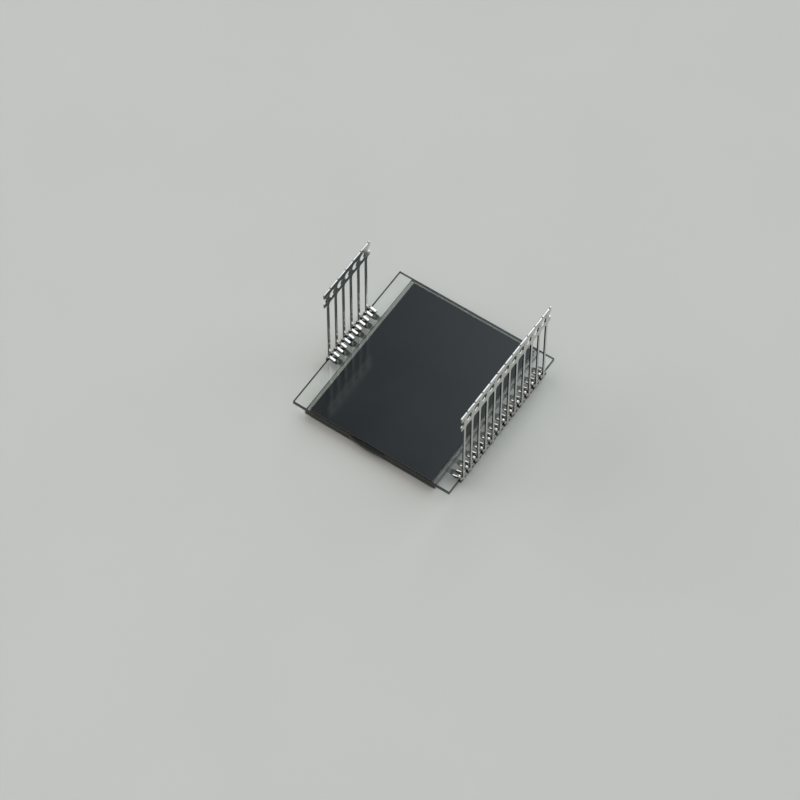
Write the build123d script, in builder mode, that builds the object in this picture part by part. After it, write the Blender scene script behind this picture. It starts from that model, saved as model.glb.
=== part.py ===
"""Segment liquid crystal display with two rows of clip-on pins, still on their carrier strips.

The display lies on its viewing face with the pins pointing up.
X runs from the short pin row to the long one, Y runs along the rows, Z points up.
The origin is the middle of the display, on the viewing face. All sizes are in millimetres.
"""
import math
import os

from build123d import *

os.makedirs("parts", exist_ok=True)

# Glass cell, from the viewing face up
plate_width = 28.6
plate_depth = 28.9
glass_thickness = 0.7
cell_gap = 0.05
front_polariser_thickness = 0.3
rear_polariser_thickness = 0.25
left_ledge = 2.25
right_ledge = 2.65

# Polariser margins to the edge of the narrow glass
polariser_left_margin = 0.9
polariser_right_margin = 0.55
polariser_front_margin = 0.1
polariser_back_margin = 0.75

# Seal between the glasses, its filling port and the plug in the port
seal_side_inset = 0.3
seal_end_inset = 0.35
seal_width = 0.9
port_centre = -0.6
port_width = 4.4
plug_width = 6.6
plug_reach = 0.42
plug_height = 1.25
plug_bevel = 0.26

# Conductive layers in the gap
film_thickness = 0.01
pad_width = 0.9
pad_end_gap = 0.2
pad_overlap = 0.2
dot_diameter = 0.5
dot_clearance = 0.02
dot_spacing = 27.0
dot_count = 2
dot_side_count = 12

# Seven segment digits, large row at the back and small row at the front
large_digit_gap = 1.6
large_digit_height = 9.6
large_digit_count = 3
large_row_centre = 4.6
small_digit_gap = 1.4
small_digit_height = 5.4
small_digit_count = 4
small_row_centre = -7.6
bars_per_digit = 3
posts_per_side = 2
segment_stroke_ratio = 0.17
segment_spacing = 0.12
common_band_margin = 0.35
electrode_clearance = 0.35

# Lead frames: one stamped sheet for each row
pin_pitch = 2.0
left_pin_count = 6
right_pin_count = 12
left_row_centre = 0.5
right_row_centre = 0.0
sheet_thickness = 0.25
stem_offset = 0.2
stem_width = 0.42
frame_height = 17.7

# Carrier strip, measured down from its top edge
strip_width = 3.4
strip_hole_diameter = 1.4
strip_hole_depth = 1.78
pilot_hole_side = 0.26
pilot_hole_shift = 0.62
pilot_hole_rise = 0.62
notch_width = 0.2
notch_depth = 0.14
notch_shift = 0.6
stem_flare_width = 0.86
stem_flare_height = 0.75

# Three-finger clip, heights measured from the top of the ledge
body_width = 1.46
body_top = -0.3
body_bottom = -0.86
side_finger_spacing = 1.0
side_finger_width = 0.46
side_arch_radius = 0.45
side_arch_start = -0.05
side_finger_droop = 17.0
middle_finger_width = 0.38
middle_bend_radius = 0.33
middle_bend_start = -0.95
middle_finger_rise = 26.0
middle_tip_radius = 0.3
middle_tip_return = 40.0
contact_clearance = 0.01
tip_corner_bevel = 0.09

# Conductive paste around each contact
paste_width = 0.9
paste_side_count = 8
paste_window_length = 0.52
paste_window_clearance = 0.02
paste_thickness = 0.06

# Heights that follow
narrow_glass_bottom = front_polariser_thickness
gap_bottom = narrow_glass_bottom + glass_thickness
gap_top = gap_bottom + cell_gap
ledge_top = gap_top + glass_thickness
frame_top = ledge_top + frame_height
strip_bottom = frame_top - strip_width

# Plan positions that follow
narrow_left = -plate_width / 2 + left_ledge
narrow_right = plate_width / 2 - right_ledge
narrow_width = narrow_right - narrow_left
narrow_centre = (narrow_left + narrow_right) / 2
polariser_left = narrow_left + polariser_left_margin
polariser_right = narrow_right - polariser_right_margin
polariser_front = -plate_depth / 2 + polariser_front_margin
polariser_back = plate_depth / 2 - polariser_back_margin
polariser_width = polariser_right - polariser_left
polariser_depth = polariser_back - polariser_front
polariser_centre = ((polariser_left + polariser_right) / 2, (polariser_front + polariser_back) / 2)
seal_outer_width = narrow_width - 2 * seal_side_inset
seal_outer_depth = plate_depth - 2 * seal_end_inset
cavity_width = seal_outer_width - 2 * seal_width
cavity_depth = seal_outer_depth - 2 * seal_width
port_depth = seal_end_inset + seal_width
band_width = cavity_width - 2 * electrode_clearance
large_digit_pitch = band_width / large_digit_count
large_digit_width = large_digit_pitch - large_digit_gap
small_digit_pitch = band_width / small_digit_count
small_digit_width = small_digit_pitch - small_digit_gap


def pin_rows(count, centre):
    """Y positions of the pins of a row."""
    first = centre - (count - 1) * pin_pitch / 2
    return [first + index * pin_pitch for index in range(count)]


left_pins = pin_rows(left_pin_count, left_row_centre)
right_pins = pin_rows(right_pin_count, right_row_centre)


def draw_digits(digit_width, digit_height, digit_pitch, digit_count, row_centre):
    """Draw a row of seven segment digits in the sketch that is open."""
    stroke = digit_width * segment_stroke_ratio
    bar_length = digit_width - stroke - segment_spacing
    post_length = (digit_height - stroke) / 2 - segment_spacing
    post_spacing = (digit_height - stroke) / 2
    half = stroke / 2
    with Locations((narrow_centre, row_centre)):
        with GridLocations(digit_pitch, post_spacing, digit_count, bars_per_digit):
            bar_end = bar_length / 2
            Polygon(
                (-bar_end, 0),
                (-bar_end + half, half),
                (bar_end - half, half),
                (bar_end, 0),
                (bar_end - half, -half),
                (-bar_end + half, -half),
                align=None,
            )
        for side in (-1, 1):
            with Locations((side * (digit_width - stroke) / 2, 0)):
                with GridLocations(digit_pitch, post_spacing, digit_count, posts_per_side):
                    post_end = post_length / 2
                    Polygon(
                        (0, -post_end),
                        (half, -post_end + half),
                        (half, post_end - half),
                        (0, post_end),
                        (-half, post_end - half),
                        (-half, -post_end + half),
                        align=None,
                    )


# Viewing-side polariser, the face the display rests on
with BuildPart() as front_polariser:
    with BuildSketch():
        with Locations(polariser_centre):
            Rectangle(polariser_width, polariser_depth)
    extrude(amount=front_polariser_thickness)
front_polariser.part.label = "front_polariser"

# Narrow glass with the common electrodes
with BuildPart() as common_glass:
    with BuildSketch(Plane.XY.offset(narrow_glass_bottom)):
        with Locations((narrow_centre, 0)):
            Rectangle(narrow_width, plate_depth)
    extrude(amount=glass_thickness)
common_glass.part.label = "common_glass"

# Wide glass with the segment electrodes, its two sides stand out as ledges
with BuildPart() as segment_glass:
    with BuildSketch(Plane.XY.offset(gap_top)):
        Rectangle(plate_width, plate_depth)
    extrude(amount=glass_thickness)
segment_glass.part.label = "segment_glass"

# Rear polariser on the wide glass
with BuildPart() as rear_polariser:
    with BuildSketch(Plane.XY.offset(ledge_top)):
        with Locations(polariser_centre):
            Rectangle(polariser_width, polariser_depth)
    extrude(amount=rear_polariser_thickness)
rear_polariser.part.label = "rear_polariser"

# Segments on the wide glass, one film of conductive oxide
with BuildPart() as segment_electrodes:
    with BuildSketch(Plane.XY.offset(gap_top - film_thickness)):
        draw_digits(
            large_digit_width,
            large_digit_height,
            large_digit_pitch,
            large_digit_count,
            large_row_centre,
        )
        draw_digits(
            small_digit_width,
            small_digit_height,
            small_digit_pitch,
            small_digit_count,
            small_row_centre,
        )
    extrude(amount=film_thickness)
segment_electrodes.part.label = "segment_electrodes"

# Common electrodes on the narrow glass, one band across each row of digits
band_rows = (
    (large_row_centre, large_digit_height + 2 * common_band_margin),
    (small_row_centre, small_digit_height + 2 * common_band_margin),
)
with BuildPart() as common_electrodes:
    with BuildSketch(Plane.XY.offset(gap_bottom)):
        for row_centre, band_height in band_rows:
            with Locations((narrow_centre, row_centre)):
                Rectangle(band_width, band_height)
    extrude(amount=film_thickness)
common_electrodes.part.label = "common_electrodes"

# Contact pads under the ledges, one for each pin
with BuildPart() as contact_pads:
    with BuildSketch(Plane.XY.offset(gap_top - film_thickness)):
        left_pad_length = left_ledge - pad_end_gap + pad_overlap
        right_pad_length = right_ledge - pad_end_gap + pad_overlap
        left_pad_centre = -plate_width / 2 + pad_end_gap + left_pad_length / 2
        right_pad_centre = plate_width / 2 - pad_end_gap - right_pad_length / 2
        with Locations([(left_pad_centre, y) for y in left_pins]):
            Rectangle(left_pad_length, pad_width)
        with Locations([(right_pad_centre, y) for y in right_pins]):
            Rectangle(right_pad_length, pad_width)
    extrude(amount=film_thickness)
contact_pads.part.label = "contact_pads"

# Seal frame between the glasses, open at the filling port, with a pocket for each conductive dot
dot_x = narrow_left + seal_side_inset + seal_width / 2
with BuildPart() as perimeter_seal:
    with BuildSketch(Plane.XY.offset(gap_bottom)):
        with Locations((narrow_centre, 0)):
            Rectangle(seal_outer_width, seal_outer_depth)
            Rectangle(cavity_width, cavity_depth, mode=Mode.SUBTRACT)
        with Locations((port_centre, -plate_depth / 2)):
            port_align = (Align.CENTER, Align.MIN)
            Rectangle(port_width + 2 * seal_width, port_depth, align=port_align)
            Rectangle(port_width, port_depth, align=port_align, mode=Mode.SUBTRACT)
        with Locations((dot_x, 0)):
            with GridLocations(0, dot_spacing, 1, dot_count):
                pocket_radius = dot_diameter / 2 + dot_clearance
                RegularPolygon(pocket_radius, dot_side_count, mode=Mode.SUBTRACT)
    extrude(amount=cell_gap)
perimeter_seal.part.label = "perimeter_seal"

# Plug of resin in the filling port, with the bead that stands out of the edge
with BuildPart() as end_seal:
    with BuildSketch(Plane.XY.offset(gap_top - plug_height / 2)):
        edge_y = -plate_depth / 2
        with BuildLine():
            plug_left = (port_centre - plug_width / 2, edge_y)
            plug_right = (port_centre + plug_width / 2, edge_y)
            ThreePointArc(plug_left, (port_centre, edge_y - plug_reach), plug_right)
            Line(plug_right, plug_left)
        make_face()
    extrude(amount=plug_height)
    bead_rims = end_seal.edges().filter_by(GeomType.CIRCLE)
    chamfer(bead_rims, length=plug_bevel)
    with BuildSketch(Plane.XY.offset(gap_bottom)):
        with Locations((port_centre, edge_y)):
            Rectangle(port_width, seal_end_inset, align=(Align.CENTER, Align.MIN))
    extrude(amount=cell_gap)
end_seal.part.label = "end_seal"

# Liquid crystal inside the seal, between the films on the two glasses
with BuildPart() as liquid_crystal:
    with BuildSketch(Plane.XY.offset(gap_bottom + film_thickness)):
        with Locations((narrow_centre, 0)):
            Rectangle(cavity_width, cavity_depth)
        with Locations((port_centre, -plate_depth / 2 + seal_end_inset)):
            Rectangle(port_width, seal_width, align=(Align.CENTER, Align.MIN))
    extrude(amount=cell_gap - 2 * film_thickness)
liquid_crystal.part.label = "liquid_crystal"

# Conductive dots in the seal, they carry the common electrodes over to the wide glass
with BuildPart() as transfer_dots:
    with BuildSketch(Plane.XY.offset(gap_bottom)):
        with Locations((dot_x, 0)):
            with GridLocations(0, dot_spacing, 1, dot_count):
                RegularPolygon(dot_diameter / 2, dot_side_count)
    extrude(amount=cell_gap)
transfer_dots.part.label = "transfer_dots"

# The clips are drawn at the left edge of the wide glass
sheet_middle = -plate_width / 2 - stem_offset
stem_align = (Align.CENTER, Align.MIN)

# Side finger: up from the body, over the edge and down to the top of the ledge
side_droop = math.radians(side_finger_droop)
side_arch_end = side_arch_start + side_arch_radius * math.cos(side_droop)
side_tip_height = sheet_thickness / 2 * math.cos(side_droop) + contact_clearance
side_straight = (side_arch_end - side_tip_height) / math.sin(side_droop)
with BuildPart() as side_finger:
    with BuildLine(Plane.XZ) as side_path:
        side_start = (sheet_middle, ledge_top + side_arch_start)
        side_arch = JernArc(side_start, (0, 1), side_arch_radius, -90 - side_finger_droop)
        Line(side_arch @ 1, side_arch @ 1 + (side_arch % 1) * side_straight)
    with BuildSketch(Plane.XY.offset(ledge_top + side_arch_start)):
        with Locations((sheet_middle, 0)):
            Rectangle(sheet_thickness, side_finger_width)
    sweep(path=side_path.line)
    tip_face = side_finger.faces().sort_by(Axis.X)[-1]
    tip_corners = tip_face.edges().sort_by(Axis.Y)
    chamfer([tip_corners[0], tip_corners[-1]], length=tip_corner_bevel)

# Middle finger: down from the body, under the glass and up to the contact pad
middle_rise = math.radians(middle_finger_rise)
middle_top = -glass_thickness - film_thickness
middle_bend_end = middle_bend_start - middle_bend_radius * math.cos(middle_rise)
tip_arc_rise = middle_tip_radius * (1 - math.cos(middle_rise))
middle_climb = middle_top - sheet_thickness / 2 - tip_arc_rise - middle_bend_end
middle_straight = middle_climb / math.sin(middle_rise)
with BuildPart() as middle_finger:
    with BuildLine(Plane.XZ) as middle_path:
        middle_start = (sheet_middle, ledge_top + middle_bend_start)
        middle_turn = 90 + middle_finger_rise
        middle_bend = JernArc(middle_start, (0, -1), middle_bend_radius, middle_turn)
        middle_run_end = middle_bend @ 1 + (middle_bend % 1) * middle_straight
        middle_run = Line(middle_bend @ 1, middle_run_end)
        JernArc(middle_run @ 1, middle_run % 1, middle_tip_radius, -middle_tip_return)
    with BuildSketch(Plane.XY.offset(ledge_top + middle_bend_start)):
        with Locations((sheet_middle, 0)):
            Rectangle(sheet_thickness, middle_finger_width)
    sweep(path=middle_path.line)
contact_reach = middle_run_end.X + middle_tip_radius * math.sin(middle_rise)


def build_lead_frame(pin_positions):
    """Stamp one lead frame at the left edge: stems, clips and carrier strip in one piece."""
    strip_start = pin_positions[0] - pin_pitch / 2
    strip_end = pin_positions[-1] + pin_pitch / 2
    hole_positions = [strip_start + index * pin_pitch for index in range(len(pin_positions) + 1)]
    body_base = ledge_top + body_bottom
    root_base = ledge_top + middle_bend_start
    arch_base = ledge_top + side_arch_start
    with BuildPart() as frame:
        with BuildSketch(Plane.YZ.offset(sheet_middle - sheet_thickness / 2)):
            with Locations((strip_start, strip_bottom)):
                Rectangle(strip_end - strip_start, strip_width, align=(Align.MIN, Align.MIN))
            with Locations([(y, body_base) for y in pin_positions]):
                Rectangle(stem_width, strip_bottom - body_base, align=stem_align)
            with Locations([(y, strip_bottom) for y in pin_positions]):
                Polygon(
                    (-stem_flare_width / 2, 0),
                    (stem_flare_width / 2, 0),
                    (stem_width / 2, -stem_flare_height),
                    (-stem_width / 2, -stem_flare_height),
                    align=None,
                )
            with Locations([(y, body_base) for y in pin_positions]):
                Rectangle(body_width, body_top - body_bottom, align=stem_align)
            with Locations([(y, root_base) for y in pin_positions]):
                Rectangle(middle_finger_width, body_bottom - middle_bend_start, align=stem_align)
            for side in (-1, 1):
                finger_shift = side * side_finger_spacing / 2
                with Locations([(y + finger_shift, body_base) for y in pin_positions]):
                    Rectangle(side_finger_width, arch_base - body_base, align=stem_align)
            with Locations([(y, frame_top - strip_hole_depth) for y in hole_positions]):
                Circle(strip_hole_diameter / 2, mode=Mode.SUBTRACT)
            pilot_height = frame_top - strip_hole_depth + pilot_hole_rise
            with Locations([(y + pilot_hole_shift, pilot_height) for y in hole_positions[:-1]]):
                Rectangle(pilot_hole_side, pilot_hole_side, mode=Mode.SUBTRACT)
            with Locations([(y + notch_shift, frame_top) for y in pin_positions]):
                Polygon(
                    (-notch_width / 2, 0),
                    (notch_width / 2, 0),
                    (0, -notch_depth),
                    align=None,
                    mode=Mode.SUBTRACT,
                )
        extrude(amount=sheet_thickness)
        with Locations([(0, y, 0) for y in pin_positions]):
            add(middle_finger.part)
        for side in (-1, 1):
            with Locations([(0, y + side * side_finger_spacing / 2, 0) for y in pin_positions]):
                add(side_finger.part)
    return frame.part


# Short row with its carrier strip
with BuildPart() as lead_frame_left:
    add(build_lead_frame(left_pins))
lead_frame_left.part.label = "lead_frame_left"

# Long row with its carrier strip, the mirror image on the opposite ledge
with BuildPart() as lead_frame_right:
    add(build_lead_frame(right_pins))
    mirror(about=Plane.YZ, mode=Mode.REPLACE)
lead_frame_right.part.label = "lead_frame_right"

# Dabs of conductive paste around the contacts under the ledges
paste_base = gap_top - film_thickness - paste_thickness
paste_turn = 180 / paste_side_count
paste_window_width = middle_finger_width + 2 * paste_window_clearance
with BuildPart() as contact_paste_left:
    with BuildSketch(Plane.XY.offset(paste_base)):
        with Locations([(contact_reach, y) for y in left_pins]):
            RegularPolygon(paste_width / 2, paste_side_count, rotation=paste_turn)
            Rectangle(paste_window_length, paste_window_width, mode=Mode.SUBTRACT)
    extrude(amount=paste_thickness)
contact_paste_left.part.label = "contact_paste_left"

with BuildPart() as contact_paste_right:
    with BuildSketch(Plane.XY.offset(paste_base)):
        with Locations([(-contact_reach, y) for y in right_pins]):
            RegularPolygon(paste_width / 2, paste_side_count, rotation=paste_turn)
            Rectangle(paste_window_length, paste_window_width, mode=Mode.SUBTRACT)
    extrude(amount=paste_thickness)
contact_paste_right.part.label = "contact_paste_right"

export_step(front_polariser.part, "parts/front_polariser.step")
export_step(common_glass.part, "parts/common_glass.step")
export_step(segment_glass.part, "parts/segment_glass.step")
export_step(rear_polariser.part, "parts/rear_polariser.step")
export_step(segment_electrodes.part, "parts/segment_electrodes.step")
export_step(common_electrodes.part, "parts/common_electrodes.step")
export_step(contact_pads.part, "parts/contact_pads.step")
export_step(perimeter_seal.part, "parts/perimeter_seal.step")
export_step(end_seal.part, "parts/end_seal.step")
export_step(liquid_crystal.part, "parts/liquid_crystal.step")
export_step(transfer_dots.part, "parts/transfer_dots.step")
export_step(lead_frame_left.part, "parts/lead_frame_left.step")
export_step(lead_frame_right.part, "parts/lead_frame_right.step")
export_step(contact_paste_left.part, "parts/contact_paste_left.step")
export_step(contact_paste_right.part, "parts/contact_paste_right.step")
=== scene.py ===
"""Bare segment LCD: a glass cell lying face down with two rows of clip-on pins, dressed over its CAD frame.

Lengths are written in millimetres and turned to metres with MM where they meet Blender.
The frame is the CAD's: +X from the short pin row to the long one, +Y along the rows, +Z up.
"""

import logging
import math
from collections.abc import Callable
from dataclasses import dataclass, field
from enum import Enum, IntEnum
from functools import partial
from typing import Any

import bmesh
import bpy
from bpy.types import Material, Node, NodeSocket, NodeTree, Object
from mathutils import Matrix, Vector


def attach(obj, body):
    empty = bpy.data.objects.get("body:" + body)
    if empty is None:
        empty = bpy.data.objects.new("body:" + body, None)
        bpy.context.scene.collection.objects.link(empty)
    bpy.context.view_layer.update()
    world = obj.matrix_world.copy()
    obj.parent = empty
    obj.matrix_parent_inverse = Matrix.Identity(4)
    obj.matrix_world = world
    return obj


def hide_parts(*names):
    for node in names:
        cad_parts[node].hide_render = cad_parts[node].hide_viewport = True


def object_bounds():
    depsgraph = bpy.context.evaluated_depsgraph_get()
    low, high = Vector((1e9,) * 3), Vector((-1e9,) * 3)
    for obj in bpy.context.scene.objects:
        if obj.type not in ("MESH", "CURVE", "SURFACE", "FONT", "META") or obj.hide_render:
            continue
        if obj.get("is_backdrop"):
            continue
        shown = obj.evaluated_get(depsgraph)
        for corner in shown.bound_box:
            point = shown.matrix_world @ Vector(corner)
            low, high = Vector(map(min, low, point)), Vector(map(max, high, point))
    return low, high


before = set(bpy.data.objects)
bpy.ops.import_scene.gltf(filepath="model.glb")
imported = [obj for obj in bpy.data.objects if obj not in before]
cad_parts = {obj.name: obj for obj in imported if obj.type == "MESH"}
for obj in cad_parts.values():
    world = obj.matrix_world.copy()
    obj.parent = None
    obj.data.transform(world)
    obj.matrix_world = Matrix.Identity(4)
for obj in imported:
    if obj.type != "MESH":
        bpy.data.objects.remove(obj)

Pair = tuple[float, float]
Triple = tuple[float, float, float]
Adder = Callable[..., Node]  # add_node for one tree

CAD_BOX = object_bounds()
MM = 0.001
LOG = logging.getLogger("segment_lcd")
FACTOR, FLOAT_A, FLOAT_B, COLOUR_A, COLOUR_B = 0, 2, 3, 6, 7  # inputs of a Mix node, whose names repeat
EDGE_SLOPE = 0.5  # a face of a plate whose normal rises less than this belongs to its edge
SHARP_BEND = 48.0  # degrees between two faces from which their corner stays crisp
SQUARE = 0.9999  # how far along X the normal of a face points where the face is square to it


def linear(hex_colour: str) -> tuple[float, float, float, float]:
    """Turns an sRGB hex colour to the linear colour that a shader takes.

    Args:
        hex_colour: six hex digits after a hash, as "#c5c7c4".

    Returns:
        Red, green, blue and an alpha of 1, linear.
    """
    parts = [int(hex_colour[i : i + 2], 16) / 255 for i in (1, 3, 5)]
    r, g, b = (c / 12.92 if c <= 0.04045 else ((c + 0.055) / 1.055) ** 2.4 for c in parts)
    return (r, g, b, 1.0)


def add_node(tree: NodeTree, kind: str, values: dict[Any, Any] | None = None) -> Node:
    """Adds one node with its settings and links.

    Args:
        tree: the node tree that gets the node.
        kind: what follows ShaderNode in Blender's name of the node.
        values: what each property or input gets, by its name or number. An input takes a value, a
            socket, or a node, whose first output in use then feeds it.

    Returns:
        The new node.
    """
    node = tree.nodes.new("ShaderNode" + kind)
    inputs = {}
    for name, value in (values or {}).items():
        if str(name) in node.bl_rna.properties:
            setattr(node, name, value)
        else:
            inputs[name] = value
    for name, value in inputs.items():
        if isinstance(value, Node):
            value = next(output for output in value.outputs if output.enabled)
        if isinstance(value, NodeSocket):
            tree.links.new(value, node.inputs[name])
        else:
            node.inputs[name].default_value = value
    return node


def add_object(name: str, data: bpy.types.ID) -> Object:
    """Adds an object to the scene.

    Args:
        name: the object's name.
        data: its mesh, curve, lamp or camera.

    Returns:
        The object.
    """
    made = bpy.data.objects.new(name, data)
    bpy.context.scene.collection.objects.link(made)
    return made


def edge_mask(add: Adder) -> Node:
    """Tells the edges of a plate from its broad faces.

    Args:
        add: adds a node to the material.

    Returns:
        The node that gives 1 on an edge and 0 on a broad face.
    """
    normal = add("SeparateXYZ", {"Vector": add("NewGeometry").outputs["Normal"]})
    upright = add("Math", {"operation": "ABSOLUTE", 0: normal.outputs["Z"]})
    return add("Math", {"operation": "LESS_THAN", 0: upright, 1: EDGE_SLOPE})


@dataclass(frozen=True)
class Pattern:
    """One pattern of a finish, by its real size: a noise, or grains.

    Its size and height are in millimetres and its turn in degrees. A stretch below 1 draws it out,
    and one with a height shapes the surface too.
    """

    size: float
    detail: float = 2.0
    coarseness: float = 0.5
    stretch: Triple = (1, 1, 1)
    turn: float = 0.0
    grains: bool = False
    strength: float = 0.0
    height: float = 0.0

    def draw(self, add: Adder, place: NodeSocket) -> Node:
        """Adds the pattern's nodes.

        Args:
            add: adds a node to the material.
            place: the place on the piece.

        Returns:
            The node that gives the pattern.
        """
        spot: Any = place
        if self.stretch != (1, 1, 1):
            turn = (0, 0, math.radians(self.turn))
            spot = add("Mapping", {"Rotation": turn, "Scale": self.stretch, "Vector": place})
        values = {"Scale": 1 / (self.size * MM), "Vector": spot}
        if self.grains:
            return add("TexVoronoi", values)
        return add("TexNoise", {**values, "Detail": self.detail, "Roughness": self.coarseness})


@dataclass(frozen=True)
class Finish:
    """What every finish shares: a name, and one material that is made once and then reused."""

    name: str

    def material(self) -> Material:
        """Makes the finish's material, or finds the one made before.

        Returns:
            The material.
        """
        found = bpy.data.materials.get(self.name)
        if found is not None:
            return found
        made = bpy.data.materials.new(self.name)
        made.use_nodes = True
        made.node_tree.nodes.clear()
        add = partial(add_node, made.node_tree)
        add("OutputMaterial", {"Surface": self.shader(add, add("TexCoord").outputs["Object"])})
        return made

    def shader(self, add: Adder, place: NodeSocket) -> Node:
        """Builds the finish's nodes; each finish has its own.

        Args:
            add: adds a node to the material.
            place: the place on the piece.

        Returns:
            The last node.
        """
        raise NotImplementedError

    def dress(self, piece: Object) -> None:
        """Puts the finish on every slot of the piece.

        Args:
            piece: the piece that gets it.
        """
        if not piece.material_slots:
            piece.data.materials.append(self.material())
        for slot in piece.material_slots:
            slot.material = self.material()


@dataclass(frozen=True)
class PolariserFilm(Finish):
    """Polarising film: dyed, stretched polyvinyl alcohol between two cast triacetate sheets, knife cut.

    The crossed pair lets nothing through, so the face is near black and all that the eye gets is the
    gloss of the triacetate. The cut edge shows the clear sheets as thin pale lines round the dark one.
    """

    name: str = "polariser film, stretched and knife cut"
    face: str = "#071417"
    face_warm: str = "#0d1216"
    edge_clear: str = "#5c605d"
    edge_dyed: str = "#1b1d1f"
    foot: float = 1.75
    thickness: float = 0.25
    dyed_layer: Pair = (0.42, 0.6)  # shares of the thickness
    # the stretch lines are really about 0.02 mm apart; drawn coarser so that they show at all
    stretch_lines: Pattern = Pattern(0.9, stretch=(1, 0.03, 1), turn=45.0)
    line_depth: float = 0.25
    orange_peel: Pattern = Pattern(1.6, detail=1.0, strength=0.03, height=0.02)
    smudge: Pattern = Pattern(9.0, detail=3.0)
    smudge_span: Pair = (0.35, 0.65)
    roughness: Pair = (0.1, 0.15)
    cut_roughness: float = 0.45
    ior: float = 1.48

    def shader(self, add: Adder, place: NodeSocket) -> Node:
        """Builds the face, with its stretch lines and faint waviness, and the layered cut edge.

        Args:
            add: adds a node to the material.
            place: the place on the piece.

        Returns:
            The last node.
        """
        lines = self.stretch_lines.draw(add, place).outputs["Color"]
        smudge = self.smudge.draw(add, place)
        face, warm = linear(self.face), linear(self.face_warm)
        tone = add("Mix", {"data_type": "RGBA", FACTOR: smudge, COLOUR_A: face, COLOUR_B: warm})
        lined = {"blend_type": "MULTIPLY", FACTOR: self.line_depth, COLOUR_A: tone, COLOUR_B: lines}
        tone_lined = add("Mix", {"data_type": "RGBA", **lined})
        height = add("SeparateXYZ", {"Vector": place}).outputs["Z"]
        low, high = self.foot * MM, (self.foot + self.thickness) * MM
        share = add("MapRange", {"From Min": low, "From Max": high, "Value": height})
        layers = add("ValToRGB", {"Fac": share})
        layers.color_ramp.interpolation = "CONSTANT"
        dyed_from, dyed_to = self.dyed_layer
        stops = ((0.0, self.edge_clear), (dyed_from, self.edge_dyed), (dyed_to, self.edge_clear))
        while len(layers.color_ramp.elements) < len(stops):
            layers.color_ramp.elements.new(0.5)
        for stop, (position, colour) in zip(layers.color_ramp.elements, stops):
            stop.position = position
            stop.color = linear(colour)
        is_edge = edge_mask(add)
        colour = add("Mix", {"data_type": "RGBA", FACTOR: is_edge, COLOUR_A: tone_lined, COLOUR_B: layers})
        clean, smudged = self.smudge_span
        low, high = self.roughness
        shine = {"From Min": clean, "From Max": smudged, "To Min": low, "To Max": high, "Value": smudge}
        roughness = {FACTOR: is_edge, FLOAT_A: add("MapRange", shine), FLOAT_B: self.cut_roughness}
        rough = add("Mix", {"data_type": "FLOAT", **roughness})
        peel = self.orange_peel
        depth = {"Strength": peel.strength, "Distance": peel.height * MM}
        wave = add("Bump", {**depth, "Height": peel.draw(add, place)})
        looks = {"Base Color": colour, "Roughness": rough, "Normal": wave}
        return add("BsdfPrincipled", {"IOR": self.ior, **looks})


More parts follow.
